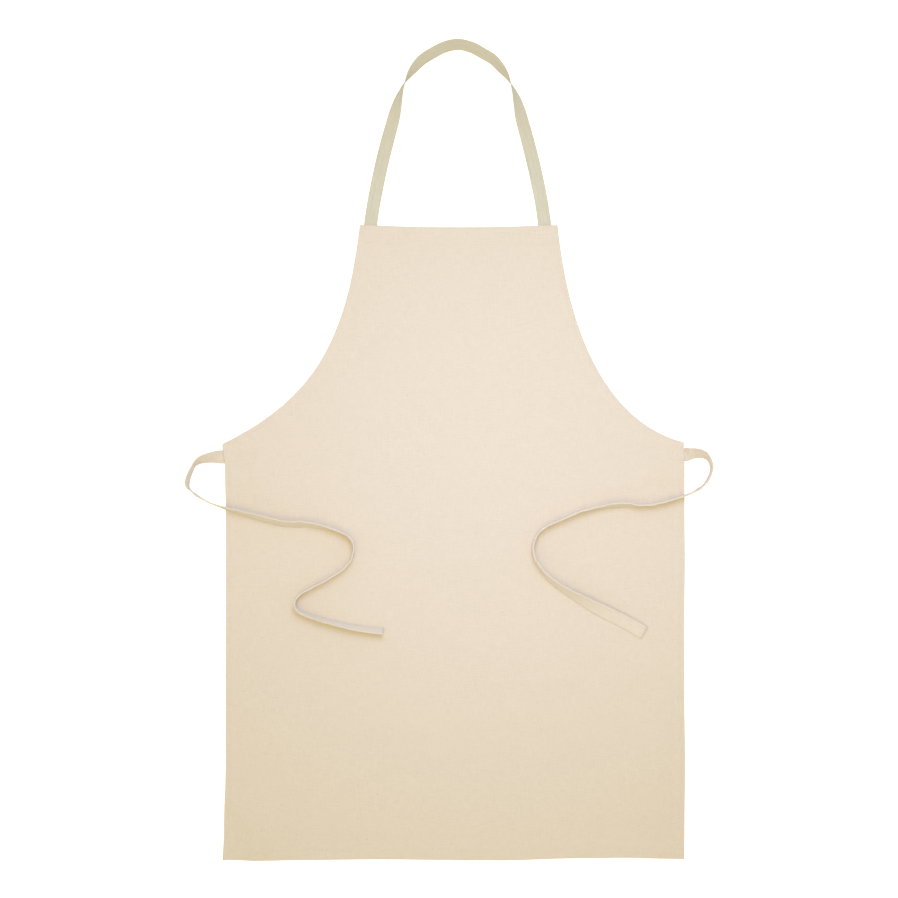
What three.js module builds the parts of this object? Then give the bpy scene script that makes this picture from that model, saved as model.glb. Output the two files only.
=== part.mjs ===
// A cotton bib apron lying face up on a flat surface, in its four sewn pieces: one hemmed cloth
// panel, a neck loop of woven tape, and two waist ties folded from the panel's own cloth.
// Millimetres: X across the apron, Y from the bottom hem to the neck loop, Z up from the surface.
import * as THREE from "three";
import { mergeVertices } from "three/addons/utils/BufferGeometryUtils.js";

// Driving sizes
const BODY_LENGTH = 900; // bib edge to bottom hem
const SKIRT_WIDTH = 650;
const BIB_WIDTH = 280;
const ARMHOLE_DROP = 310; // bib edge to the side corners
const LOOP_RISE = 262; // bib edge to the top of the neck loop
const STRAP_WIDTH = 19;
const TIE_WIDTH = 19;
const PLY = 1.0; // one layer of the panel's cloth
const STRAP_THICKNESS = 1.2;
const TIE_THICKNESS = 2; // folded cloth
const GAP = 0.3; // air left between pieces that touch

// The origin is the middle of the box round panel and loop, on the surface
const BOTTOM_Y = -(BODY_LENGTH + LOOP_RISE) / 2;
const BIB_Y = BOTTOM_Y + BODY_LENGTH;
const CORNER_Y = BIB_Y - ARMHOLE_DROP;
const SKIRT_SHIFT = 2; // the cloth lies a little askew: skirt and bib both stand right of the middle
const BIB_SHIFT = 7;
const BIB_DIP = 2.9; // the bib edge hangs in its middle
const OUTWARD = { left: -1, right: 1 };

// Hems, each turned under once: how deep the cloth is folded back
const HEM = { bib: 27, side: 7, bottom: 15 };
const FOLD_ROUND = 0.4; // half of the fold's rounding in plan
const HEM_EASE = 10; // over this length the cloth comes down from the hem to the surface

// Section of the panel's border, from the middle of its underside out round the fold and back on top.
// hems counts hem depths in from the edge, past adds millimetres, plies is the height in layers.
const BORDER = [
  { hems: 1, past: HEM_EASE, plies: 0 },
  { hems: 1, past: 0, plies: 1 },
  { hems: 1, past: 0, plies: 0 },
  { hems: 0, past: FOLD_ROUND, plies: 0 },
  { hems: 0, past: 0, plies: 1 },
  { hems: 0, past: FOLD_ROUND, plies: 2 },
  { hems: 1, past: 0, plies: 2 },
  { hems: 1, past: HEM_EASE, plies: 1 },
];

// Armhole curves: handles down from the bib corner and up and in from the side corner, and the side
// corner's own place across and above its usual height
const ARMHOLE_HANDLES = {
  left: { bibIn: 20, bibDown: 172, cornerIn: 124, cornerUp: 62, cornerX: -327.4, cornerRise: 0 },
  right: { bibIn: 25, bibDown: 238, cornerIn: 54, cornerUp: 13, cornerX: 325.6, cornerRise: 2.5 },
};

// How far each side stands outside the straight skirt, by the way down from the usual height of its corner
const SIDE_LINE = [
  { down: 0, left: 4.4, right: -1.4 },
  { down: 30, left: 0.8, right: -0.5 },
  { down: 110, left: -0.3, right: -0.1 },
  { down: 160, left: -0.4, right: 0.3 },
  { down: 280, left: -0.1, right: -0.9 },
  { down: 360, left: -0.1, right: -0.3 },
  { down: 450, left: -0.1, right: 0.6 },
  { down: 545, left: 2.3, right: -0.2 },
  { down: 600, left: 4.6, right: -0.9 },
];

// How far the bottom edge rises above its lowest point, across the skirt from left to right
const BOTTOM_LINE = [
  { across: 0, rise: 0.9 },
  { across: 0.08, rise: 0 },
  { across: 0.17, rise: 1 },
  { across: 0.34, rise: 2.1 },
  { across: 0.6, rise: 0.5 },
  { across: 0.78, rise: 3.8 },
  { across: 0.87, rise: 4.5 },
  { across: 1, rise: 2.4 },
];

// Low swells where the cloth stands off the surface
const SWELLS = [
  { x: -268, y: -532, reachX: 60, reachY: 62, height: 8 },
  { x: 215, y: -582, reachX: 120, reachY: 50, height: 2 },
  { x: -60, y: -582, reachX: 110, reachY: 40, height: 1.2 },
  { x: 278, y: -460, reachX: 52, reachY: 150, height: 6 },
];

// Courses of the tapes: x and y of the middle of the tape, its tilt in degrees from lying flat
// (the edge on the left of the course rises first), and the height of what it lies on.
const ON_SURFACE = 0;
const ON_HEM = 2 * PLY + GAP;
const ON_CLOTH = PLY + GAP;

const NECK_STRAP = [
  { x: -120.3, y: 291, tilt: 0, bed: ON_SURFACE },
  { x: -117.7, y: 319, tilt: 0, bed: ON_SURFACE },
  { x: -113.2, y: 350, tilt: 0, bed: ON_SURFACE },
  { x: -107, y: 382, tilt: 0, bed: ON_SURFACE },
  { x: -100.6, y: 411, tilt: 0, bed: ON_SURFACE },
  { x: -93.5, y: 439, tilt: -5, bed: ON_SURFACE },
  { x: -85.7, y: 467.5, tilt: -17, bed: ON_SURFACE },
  { x: -78.6, y: 495, tilt: -49, bed: ON_SURFACE },
  { x: -74.8, y: 506.5, tilt: -67, bed: ON_SURFACE },
  { x: -70.1, y: 517.8, tilt: -82, bed: ON_SURFACE },
  { x: -63.6, y: 528.9, tilt: -105, bed: ON_SURFACE },
  { x: -55.6, y: 540, tilt: -124, bed: ON_SURFACE },
  { x: -44.1, y: 552.2, tilt: -134, bed: ON_SURFACE },
  { x: -30.4, y: 561, tilt: -137, bed: ON_SURFACE },
  { x: -12.9, y: 569.8, tilt: -137, bed: ON_SURFACE },
  { x: 6, y: 573.5, tilt: -135.5, bed: ON_SURFACE },
  { x: 24.8, y: 569.5, tilt: -136, bed: ON_SURFACE },
  { x: 42.2, y: 560.2, tilt: -135, bed: ON_SURFACE },
  { x: 55.7, y: 551.8, tilt: -132, bed: ON_SURFACE },
  { x: 66.7, y: 539.7, tilt: -123, bed: ON_SURFACE },
  { x: 74.9, y: 528.7, tilt: -105, bed: ON_SURFACE },
  { x: 80.9, y: 517.7, tilt: -84, bed: ON_SURFACE },
  { x: 85.8, y: 506.5, tilt: -66, bed: ON_SURFACE },
  { x: 89.7, y: 495, tilt: -48, bed: ON_SURFACE },
  { x: 96.7, y: 467.5, tilt: -17, bed: ON_SURFACE },
  { x: 104.5, y: 439, tilt: -5, bed: ON_SURFACE },
  { x: 111.6, y: 411, tilt: 0, bed: ON_SURFACE },
  { x: 118.1, y: 382, tilt: 0, bed: ON_SURFACE },
  { x: 124.1, y: 352, tilt: 0, bed: ON_SURFACE },
  { x: 128.7, y: 319, tilt: 0, bed: ON_SURFACE },
  { x: 131, y: 291, tilt: 0, bed: ON_SURFACE },
];

const WAIST_TIE_LEFT = [
  { x: -307, y: -9.5, tilt: 0, bed: ON_SURFACE },
  { x: -327, y: -9.3, tilt: 0, bed: ON_SURFACE },
  { x: -341, y: -9.8, tilt: -36, bed: ON_SURFACE },
  { x: -356.8, y: -13.4, tilt: -57, bed: ON_SURFACE },
  { x: -364.1, y: -18, tilt: -75, bed: ON_SURFACE },
  { x: -369.3, y: -25.5, tilt: -80, bed: ON_SURFACE },
  { x: -376, y: -43.5, tilt: -76, bed: ON_SURFACE },
  { x: -375.4, y: -52, tilt: -88, bed: ON_SURFACE },
  { x: -369.1, y: -58.7, tilt: -90, bed: ON_SURFACE },
  { x: -358.4, y: -66.7, tilt: -92, bed: ON_SURFACE },
  { x: -345.3, y: -73.5, tilt: -94, bed: ON_SURFACE },
  { x: -329, y: -79.5, tilt: -98, bed: ON_HEM },
  { x: -303, y: -87, tilt: -104, bed: ON_HEM },
  { x: -275, y: -95, tilt: -113, bed: ON_CLOTH },
  { x: -245, y: -102.5, tilt: -115, bed: ON_CLOTH },
  { x: -228, y: -104.2, tilt: -115, bed: ON_CLOTH },
  { x: -211, y: -104.2, tilt: -113, bed: ON_CLOTH },
  { x: -186, y: -108, tilt: -105, bed: ON_CLOTH },
  { x: -165.5, y: -114, tilt: -96, bed: ON_CLOTH },
  { x: -151, y: -120.2, tilt: -92, bed: ON_CLOTH },
  { x: -144, y: -126.8, tilt: -91, bed: ON_CLOTH },
  { x: -141.4, y: -134.7, tilt: -91, bed: ON_CLOTH },
  { x: -142.2, y: -147, tilt: -91, bed: ON_CLOTH },
  { x: -147, y: -157.4, tilt: -91, bed: ON_CLOTH },
  { x: -156, y: -167.5, tilt: -91, bed: ON_CLOTH },
  { x: -179, y: -182.5, tilt: -92, bed: ON_CLOTH },
  { x: -203, y: -195, tilt: -92, bed: ON_CLOTH },
  { x: -216.8, y: -203.3, tilt: -92, bed: ON_CLOTH },
  { x: -222.8, y: -210.6, tilt: -92, bed: ON_CLOTH },
  { x: -224.2, y: -218.4, tilt: -90, bed: ON_CLOTH },
  { x: -220.6, y: -225.6, tilt: -86, bed: ON_CLOTH },
  { x: -205.3, y: -233, tilt: -81, bed: ON_CLOTH },
  { x: -175.3, y: -242, tilt: -77, bed: ON_CLOTH },
  { x: -137.8, y: -250.6, tilt: -72, bed: ON_CLOTH },
  { x: -98.8, y: -255.6, tilt: -68, bed: ON_CLOTH },
];

const WAIST_TIE_RIGHT = [
  { x: 308, y: -6.5, tilt: 0, bed: ON_SURFACE },
  { x: 327.5, y: -6.1, tilt: 0, bed: ON_SURFACE },
  { x: 334.5, y: -5, tilt: 28, bed: ON_SURFACE },
  { x: 342, y: -4.1, tilt: 42, bed: ON_SURFACE },
  { x: 353, y: -5.9, tilt: 58, bed: ON_SURFACE },
  { x: 360.7, y: -13.2, tilt: 77, bed: ON_SURFACE },
  { x: 364.2, y: -24, tilt: 85, bed: ON_SURFACE },
  { x: 361.1, y: -36.9, tilt: 88, bed: ON_SURFACE },
  { x: 353.6, y: -48.5, tilt: 88, bed: ON_SURFACE },
  { x: 343.9, y: -55.9, tilt: 89, bed: ON_SURFACE },
  { x: 331, y: -62, tilt: 90, bed: ON_HEM },
  { x: 305, y: -70.5, tilt: 89, bed: ON_HEM },
  { x: 281, y: -76.5, tilt: 90, bed: ON_CLOTH },
  { x: 262, y: -78.3, tilt: 96, bed: ON_CLOTH },
  { x: 243, y: -77, tilt: 108, bed: ON_CLOTH },
  { x: 222, y: -78.3, tilt: 108, bed: ON_CLOTH },
  { x: 206, y: -80.8, tilt: 100, bed: ON_CLOTH },
  { x: 179, y: -86.5, tilt: 90, bed: ON_CLOTH },
  { x: 153, y: -97.5, tilt: 89, bed: ON_CLOTH },
  { x: 132, y: -106.6, tilt: 89, bed: ON_CLOTH },
  { x: 119, y: -116.8, tilt: 88, bed: ON_CLOTH },
  { x: 112.5, y: -130, tilt: 86, bed: ON_CLOTH },
  { x: 111.8, y: -145, tilt: 85, bed: ON_CLOTH },
  { x: 117.1, y: -159.3, tilt: 82, bed: ON_CLOTH },
  { x: 130.5, y: -176.9, tilt: 75, bed: ON_CLOTH },
  { x: 152, y: -194.5, tilt: 63, bed: ON_CLOTH },
  { x: 179, y: -210.5, tilt: 46, bed: ON_CLOTH },
  { x: 207, y: -225.5, tilt: 25, bed: ON_CLOTH },
  { x: 238, y: -240.5, tilt: 11, bed: ON_CLOTH },
  { x: 270, y: -258.5, tilt: 5, bed: ON_CLOTH },
];

// Sewn ends of the tapes, under the panel: the cloth is lifted over each of them
const TAB_MARGIN = 16; // the lift stays full this far past the tape
const TAB_EASE = 24; // and then dies out over this length

// Fineness of the meshes
const COLUMNS = 28;
const ARMHOLE_ROWS = 16;
const SIDE_ROWS = 23;
const ROWS = ARMHOLE_ROWS + SIDE_ROWS;
const ARMHOLE_CROWDING = 1.5; // rows stand closer towards the side corners
const SIDE_CROWDING = 1.35;
const EDGE_HOLD = 4; // how fast the bent top and bottom lines straighten inwards
const STEPS_PER_ROW = 4; // of a tape's course
const WELD = 0.001; // corners closer than this are one

// Value of one column of a table at a place between its rows, joined by level-ended curves.
function tableValue(table, placeColumn, valueColumn, place) {
  const last = table.length - 1;
  if (place <= table[0][placeColumn]) return table[0][valueColumn];
  if (place >= table[last][placeColumn]) return table[last][valueColumn];
  const next = table.findIndex((row) => row[placeColumn] >= place);
  const [from, to] = [table[next - 1], table[next]];
  const share = THREE.MathUtils.smoothstep(place, from[placeColumn], to[placeColumn]);
  return THREE.MathUtils.lerp(from[valueColumn], to[valueColumn], share);
}

// Outline of the panel

function bibCornerX(side) {
  return BIB_SHIFT + (OUTWARD[side] * BIB_WIDTH) / 2;
}

function sideCornerY(side) {
  return CORNER_Y + ARMHOLE_HANDLES[side].cornerRise;
}

function armholeCurve(side) {
  const handles = ARMHOLE_HANDLES[side];
  const out = OUTWARD[side];
  const bib = new THREE.Vector2(bibCornerX(side), BIB_Y);
  const corner = new THREE.Vector2(handles.cornerX, sideCornerY(side));
  const bibHandle = new THREE.Vector2(bib.x + out * handles.bibIn, bib.y - handles.bibDown);
  const cornerHandle = new THREE.Vector2(corner.x - out * handles.cornerIn, corner.y + handles.cornerUp);
  return new THREE.CubicBezierCurve(bib, bibHandle, cornerHandle, corner);
}

const ARMHOLE = { left: armholeCurve("left"), right: armholeCurve("right") };

// Place of the armhole at a height, and how far it runs sideways for each millimetre up.
// Below the side corner it goes straight on.
function armholeAt(side, y) {
  const halvings = 30;
  let [above, below] = [0, 1];
  for (let i = 0; i < halvings; i++) {
    const middle = (above + below) / 2;
    if (ARMHOLE[side].getPoint(middle).y > y) above = middle;
    else below = middle;
  }
  const point = ARMHOLE[side].getPoint(below);
  const tangent = ARMHOLE[side].getTangent(below);
  const slope = tangent.x / tangent.y;
  return { x: point.x + slope * (y - point.y), slope };
}

function armholeInset(side, y, inset) {
  const { x, slope } = armholeAt(side, y);
  return x - OUTWARD[side] * inset * Math.hypot(1, slope);
}

function sideInset(side, y, inset) {
  const out = OUTWARD[side];
  const bulge = tableValue(SIDE_LINE, "down", side, CORNER_Y - y);
  return SKIRT_SHIFT + out * (SKIRT_WIDTH / 2 + bulge - inset);
}

// The corner of a line set in from the edge lies on the bisector of armhole and side.
function cornerHeight(side, inset) {
  const corner = sideCornerY(side);
  const bend = Math.atan(Math.abs(armholeAt(side, corner).slope));
  return corner - inset * Math.tan(bend / 2);
}

function bibEdge(x) {
  const share = (x - BIB_SHIFT) / (BIB_WIDTH / 2);
  return BIB_Y - BIB_DIP * Math.max(0, 1 - share * share);
}

function bottomEdge(x) {
  const across = (x - SKIRT_SHIFT) / SKIRT_WIDTH + 0.5;
  return BOTTOM_Y + tableValue(BOTTOM_LINE, "across", "rise", across);
}

// One side of a line set in from the edge, from the bib down to the bottom hem.
function sideLine(side, insets) {
  const top = bibEdge(bibCornerX(side)) - insets.bib;
  const corner = cornerHeight(side, insets.side);
  const bottom = bottomEdge(sideInset(side, BOTTOM_Y, insets.side)) + insets.bottom;
  const line = [];
  for (let row = 0; row <= ARMHOLE_ROWS; row++) {
    const left = 1 - row / ARMHOLE_ROWS;
    const y = THREE.MathUtils.lerp(corner, top, left ** ARMHOLE_CROWDING);
    line.push(new THREE.Vector2(armholeInset(side, y, insets.side), y));
  }
  for (let row = 1; row <= SIDE_ROWS; row++) {
    const y = THREE.MathUtils.lerp(corner, bottom, (row / SIDE_ROWS) ** SIDE_CROWDING);
    line.push(new THREE.Vector2(sideInset(side, y, insets.side), y));
  }
  line[0].y = bibEdge(line[0].x) - insets.bib;
  return line;
}

// The top or bottom of a line set in from the edge, between the ends of its two sides.
function crossLine(start, end, heightAt) {
  const line = [];
  for (let column = 0; column <= COLUMNS; column++) {
    const x = THREE.MathUtils.lerp(start.x, end.x, column / COLUMNS);
    line.push(new THREE.Vector2(x, heightAt(x)));
  }
  line[0] = start;
  line[COLUMNS] = end;
  return line;
}

function insetLines({ hems, past }) {
  const insets = {};
  for (const edge in HEM) insets[edge] = hems * HEM[edge] + past;
  const left = sideLine("left", insets);
  const right = sideLine("right", insets);
  const top = crossLine(left[0], right[0], (x) => bibEdge(x) - insets.bib);
  const bottom = crossLine(left[ROWS], right[ROWS], (x) => bottomEdge(x) + insets.bottom);
  return { left, right, top, bottom };
}

// The four lines as one ring, counterclockwise from the top left.
function ringOf({ left, right, top, bottom }) {
  return [
    ...left.slice(0, ROWS),
    ...bottom.slice(0, COLUMNS),
    ...right.slice(1).reverse(),
    ...top.slice(1).reverse(),
  ];
}

// Points inside the four lines, row by row from the top.
function gridOf({ left, right, top, bottom }) {
  const grid = [];
  for (let row = 0; row <= ROWS; row++) {
    const down = row / ROWS;
    const line = [];
    for (let column = 0; column <= COLUMNS; column++) {
      const share = column / COLUMNS;
      const topBend = top[column].clone().sub(top[0].clone().lerp(top[COLUMNS], share));
      const bottomBend = bottom[column].clone().sub(bottom[0].clone().lerp(bottom[COLUMNS], share));
      const point = left[row].clone().lerp(right[row], share);
      point.addScaledVector(topBend, (1 - down) ** EDGE_HOLD);
      point.addScaledVector(bottomBend, down ** EDGE_HOLD);
      line.push(point);
    }
    grid.push(line);
  }
  return grid;
}

// Height of the cloth's underside

const TABS = [
  { ...NECK_STRAP.at(0), thickness: STRAP_THICKNESS },
  { ...NECK_STRAP.at(-1), thickness: STRAP_THICKNESS },
  { ...WAIST_TIE_LEFT[0], thickness: TIE_THICKNESS },
  { ...WAIST_TIE_RIGHT[0], thickness: TIE_THICKNESS },
];

function tabLift(tab, x, y) {
  const reach = TIE_WIDTH / 2 + TAB_MARGIN;
  const beyond = Math.hypot(
    Math.max(0, Math.abs(x - tab.x) - reach),
    Math.max(0, Math.abs(y - tab.y) - reach),
  );
  return (tab.thickness + GAP) * (1 - THREE.MathUtils.smoothstep(beyond, 0, TAB_EASE));
}

function swellLift(swell, x, y) {
  const away = Math.hypot((x - swell.x) / swell.reachX, (y - swell.y) / swell.reachY);
  return swell.height * (1 - THREE.MathUtils.smoothstep(away, 0, 1));
}

function lift(x, y) {
  const tabs = TABS.map((tab) => tabLift(tab, x, y));
  const swells = SWELLS.map((swell) => swellLift(swell, x, y));
  return Math.max(...tabs) + swells.reduce((sum, height) => sum + height, 0);
}

function onCloth(point, plies) {
  return new THREE.Vector3(point.x, point.y, plies * PLY + lift(point.x, point.y));
}

// Solids

function solid(corners) {
  const geometry = new THREE.BufferGeometry().setFromPoints(corners);
  const merged = mergeVertices(geometry, WELD);
  merged.computeVertexNormals();
  return merged;
}

function quad(corners, a, b, c, d) {
  corners.push(a, b, d, b, c, d);
}

function bodyPanel() {
  const corners = [];
  const rings = BORDER.map((row) => ringOf(insetLines(row)).map((point) => onCloth(point, row.plies)));
  for (let i = 0; i + 1 < rings.length; i++) {
    const [inner, outer] = [rings[i], rings[i + 1]];
    inner.forEach((point, j) => {
      const next = (j + 1) % inner.length;
      quad(corners, point, inner[next], outer[next], outer[j]);
    });
  }
  const grid = gridOf(insetLines(BORDER[0]));
  const under = grid.map((line) => line.map((point) => onCloth(point, BORDER.at(0).plies)));
  const over = grid.map((line) => line.map((point) => onCloth(point, BORDER.at(-1).plies)));
  for (let row = 0; row < ROWS; row++) {
    for (let column = 0; column < COLUMNS; column++) {
      const [r, c] = [row + 1, column + 1];
      quad(corners, over[row][column], over[r][column], over[r][c], over[row][c]);
      quad(corners, under[row][column], under[row][c], under[r][c], under[r][column]);
    }
  }
  return solid(corners);
}

// Four corners of a tape's section at a place on its course.
function tapeSection({ width, thickness }, middle, tangent, tilt, bed) {
  const across = new THREE.Vector3(-tangent.y, tangent.x, 0).normalize();
  const up = new THREE.Vector3(0, 0, 1);
  const [cos, sin] = [Math.cos(tilt), Math.sin(tilt)];
  const edge = across.clone().multiplyScalar(cos).addScaledVector(up, sin);
  const face = across.clone().multiplyScalar(-sin).addScaledVector(up, cos);
  const [half, thin] = [width / 2, thickness / 2];
  const height = bed + Math.abs(sin) * half + Math.abs(cos) * thin;
  const signs = [[1, 1], [-1, 1], [-1, -1], [1, -1]];
  return signs.map(([e, f]) => {
    const corner = new THREE.Vector3(middle.x, middle.y, height);
    return corner.addScaledVector(edge, e * half).addScaledVector(face, f * thin);
  });
}

function tapeSolid(course, size) {
  const route = new THREE.CatmullRomCurve3(course.map((row) => new THREE.Vector3(row.x, row.y, 0)));
  const spans = course.length - 1;
  const steps = spans * STEPS_PER_ROW;
  const sections = [];
  for (let step = 0; step <= steps; step++) {
    const share = step / steps;
    const row = Math.min(Math.floor(step / STEPS_PER_ROW), spans - 1);
    const part = step / STEPS_PER_ROW - row;
    const bed = THREE.MathUtils.lerp(course[row].bed, course[row + 1].bed, part);
    const degrees = THREE.MathUtils.lerp(course[row].tilt, course[row + 1].tilt, part);
    const tilt = THREE.MathUtils.degToRad(degrees);
    sections.push(tapeSection(size, route.getPoint(share), route.getTangent(share), tilt, bed));
  }
  const corners = [];
  for (let i = 0; i < steps; i++) {
    const [here, there] = [sections[i], sections[i + 1]];
    here.forEach((point, j) => {
      const next = (j + 1) % here.length;
      quad(corners, point, here[next], there[next], there[j]);
    });
  }
  const [first, last] = [sections[0], sections[steps]];
  quad(corners, first[0], first[3], first[2], first[1]);
  quad(corners, last[0], last[1], last[2], last[3]);
  return solid(corners);
}

// Pieces

const naturalCotton = new THREE.MeshStandardMaterial({ color: 0xeadfcb, roughness: 0.95, metalness: 0 });
const tieCotton = new THREE.MeshStandardMaterial({ color: 0xe6d6bb, roughness: 0.95, metalness: 0 });
const oliveTape = new THREE.MeshStandardMaterial({ color: 0xd8d1b6, roughness: 0.9, metalness: 0 });

const strapSize = { width: STRAP_WIDTH, thickness: STRAP_THICKNESS };
const tieSize = { width: TIE_WIDTH, thickness: TIE_THICKNESS };

function piece(name, geometry, material) {
  const mesh = new THREE.Mesh(geometry, material);
  mesh.name = name;
  return mesh;
}

const apron = new THREE.Group();
apron.add(piece("body_panel", bodyPanel(), naturalCotton));
apron.add(piece("neck_strap", tapeSolid(NECK_STRAP, strapSize), oliveTape));
apron.add(piece("waist_tie_left", tapeSolid(WAIST_TIE_LEFT, tieSize), tieCotton));
apron.add(piece("waist_tie_right", tapeSolid(WAIST_TIE_RIGHT, tieSize), tieCotton));

export default apron;
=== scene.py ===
# A cotton bib apron lying face up on a pale floor: its cloth, tape and stitches, made over its solids.
# Metres, +Z up: X across the apron, Y from the bottom hem to the neck loop.
import math

import bpy
import numpy as np
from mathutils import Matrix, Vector


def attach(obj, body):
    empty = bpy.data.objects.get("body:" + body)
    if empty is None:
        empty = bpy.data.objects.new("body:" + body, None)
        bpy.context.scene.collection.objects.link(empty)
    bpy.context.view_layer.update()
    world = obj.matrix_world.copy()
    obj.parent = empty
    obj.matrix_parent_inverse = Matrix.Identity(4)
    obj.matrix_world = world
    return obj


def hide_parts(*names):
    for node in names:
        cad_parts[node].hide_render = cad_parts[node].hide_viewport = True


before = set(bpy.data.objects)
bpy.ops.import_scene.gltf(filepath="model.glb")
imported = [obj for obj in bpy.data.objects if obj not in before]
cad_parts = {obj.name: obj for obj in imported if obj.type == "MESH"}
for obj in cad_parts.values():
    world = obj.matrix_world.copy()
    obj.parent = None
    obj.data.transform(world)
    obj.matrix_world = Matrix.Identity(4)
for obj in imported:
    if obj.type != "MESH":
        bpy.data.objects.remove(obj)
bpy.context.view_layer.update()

# Driving sizes
BODY_LENGTH = 0.900  # bib edge to bottom hem
SKIRT_WIDTH = 0.650
BIB_WIDTH = 0.280
ARMHOLE_DROP = 0.310  # bib edge to the side corners
LOOP_RISE = 0.262  # bib edge to the top of the neck loop
STRAP_WIDTH = 0.019
TIE_WIDTH = 0.019
PLY = 0.001  # one layer of the panel's cloth
STRAP_THICKNESS = 0.0012
TIE_THICKNESS = 0.0020  # folded cloth
GAP = 0.0003  # air left between pieces that touch

# Places that follow from them
BOTTOM_Y = -(BODY_LENGTH + LOOP_RISE) / 2
BIB_Y = BOTTOM_Y + BODY_LENGTH
CORNER_Y = BIB_Y - ARMHOLE_DROP
SKIRT_SHIFT = 0.002  # the cloth lies a little askew: skirt and bib both stand right of the middle
BIB_SHIFT = 0.007
BIB_DIP = 0.0029  # the bib edge hangs in its middle
OUTWARD = {"left": -1, "right": 1}

# Hems, each turned under once: how deep the cloth is folded back
HEM = {"bib": 0.027, "side": 0.007, "bottom": 0.015}
HEM_EASE = 0.010  # over this length the cloth comes down from the hem to the floor
HEM_SHOULDER = 0.0002  # it starts to come down this far inside the hem
UNDER_RISE = (0.4, 0.45)  # on the way up under the hem: share of that length, height in layers
UNDER_TOP = 0.95  # height of the underside at the hem, in layers
HEM_ROWS = (0.22, 0.45)  # rows of the mesh across the hem's top, in hem depths
STITCH_INSET = 0.002  # from the hem's inner edge out to its stitches
STITCH_GROOVE = 0.10  # how deep the stitches pull the cloth in, in layers
GROOVE_WIDTH = 0.0006  # half the width of that groove
GROOVE_ROWS = (-0.0014, -0.0007, 0.0, 0.0007, 0.0014)  # rows of the mesh across it

# Armhole curves: handles down from the bib corner and up and in from the side corner, and the side
# corner's own place across and above its usual height
ARMHOLE_HANDLES = {
    "left": {
        "bib_in": 0.020, "bib_down": 0.172, "corner_in": 0.124, "corner_up": 0.062,
        "corner_x": -0.3274, "corner_rise": 0.0,
    },
    "right": {
        "bib_in": 0.025, "bib_down": 0.238, "corner_in": 0.054, "corner_up": 0.013,
        "corner_x": 0.3256, "corner_rise": 0.0025,
    },
}

# How far each side stands outside the straight skirt: way down from its corner's usual height, left, right
SIDE_LINE = [
    (0.000, 0.0044, -0.0014),
    (0.030, 0.0008, -0.0005),
    (0.110, -0.0003, -0.0001),
    (0.160, -0.0004, 0.0003),
    (0.280, -0.0001, -0.0009),
    (0.360, -0.0001, -0.0003),
    (0.450, -0.0001, 0.0006),
    (0.545, 0.0023, -0.0002),
    (0.600, 0.0046, -0.0009),
]
SIDE_COLUMN = {"left": 1, "right": 2}

# How far the bottom edge rises above its lowest point: share of the way across, rise
BOTTOM_LINE = [
    (0.00, 0.0009),
    (0.08, 0.0000),
    (0.17, 0.0010),
    (0.34, 0.0021),
    (0.60, 0.0005),
    (0.78, 0.0038),
    (0.87, 0.0045),
    (1.00, 0.0024),
]

# Low swells where the cloth stands off the floor: x, y, reach along x, reach along y, height
SWELLS = [
    (-0.268, -0.532, 0.060, 0.062, 0.0080),
    (0.215, -0.582, 0.120, 0.050, 0.0020),
    (-0.060, -0.582, 0.110, 0.040, 0.0012),
    (0.278, -0.460, 0.052, 0.150, 0.0060),
]

# Soft wrinkles: x and y of one end, x and y of the other, half width, height
WRINKLES = [
    (-0.133, 0.194, -0.038, 0.260, 0.010, 0.0008),
    (0.065, 0.010, 0.112, 0.033, 0.008, 0.0007),
    (0.112, 0.033, 0.169, 0.033, 0.007, 0.0005),
    (-0.010, 0.043, 0.019, 0.061, 0.007, 0.0005),
    (0.104, -0.049, 0.189, -0.057, 0.006, 0.0007),
    (0.189, -0.057, 0.264, -0.046, 0.006, 0.0006),
    (0.030, -0.104, 0.112, -0.082, 0.008, 0.0007),
    (-0.095, -0.168, 0.037, -0.155, 0.007, 0.0006),
    (0.056, -0.331, 0.169, -0.324, 0.006, 0.0008),
    (0.019, -0.268, 0.075, -0.318, 0.009, 0.0006),
    (-0.264, -0.354, -0.242, -0.410, 0.010, 0.0009),
    (-0.242, -0.410, -0.228, -0.477, 0.010, 0.0009),
    (-0.199, -0.396, -0.029, -0.399, 0.006, 0.0005),
    (0.132, -0.145, 0.207, -0.165, 0.008, 0.0005),
    (-0.316, -0.500, -0.282, -0.535, 0.009, 0.0016),
    (-0.282, -0.535, -0.284, -0.576, 0.009, 0.0016),
]

# Broad unevenness of the cloth: wavelength, heading in degrees, phase in turns, height
RIPPLES = [
    (0.210, 20, 0.10, 0.00022),
    (0.155, 105, 0.55, 0.00018),
    (0.118, 63, 0.32, 0.00014),
    (0.083, 148, 0.77, 0.00010),
    (0.061, 8, 0.21, 0.00007),
    (0.047, 88, 0.64, 0.00006),
]

# Courses of the tapes: x and y of the middle of the tape, its tilt in degrees from lying flat
# (the edge on the left of the course rises first), and the height of what it lies on
ON_FLOOR = 0.0
ON_HEM = 2 * PLY + GAP
ON_CLOTH = PLY + GAP

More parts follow.
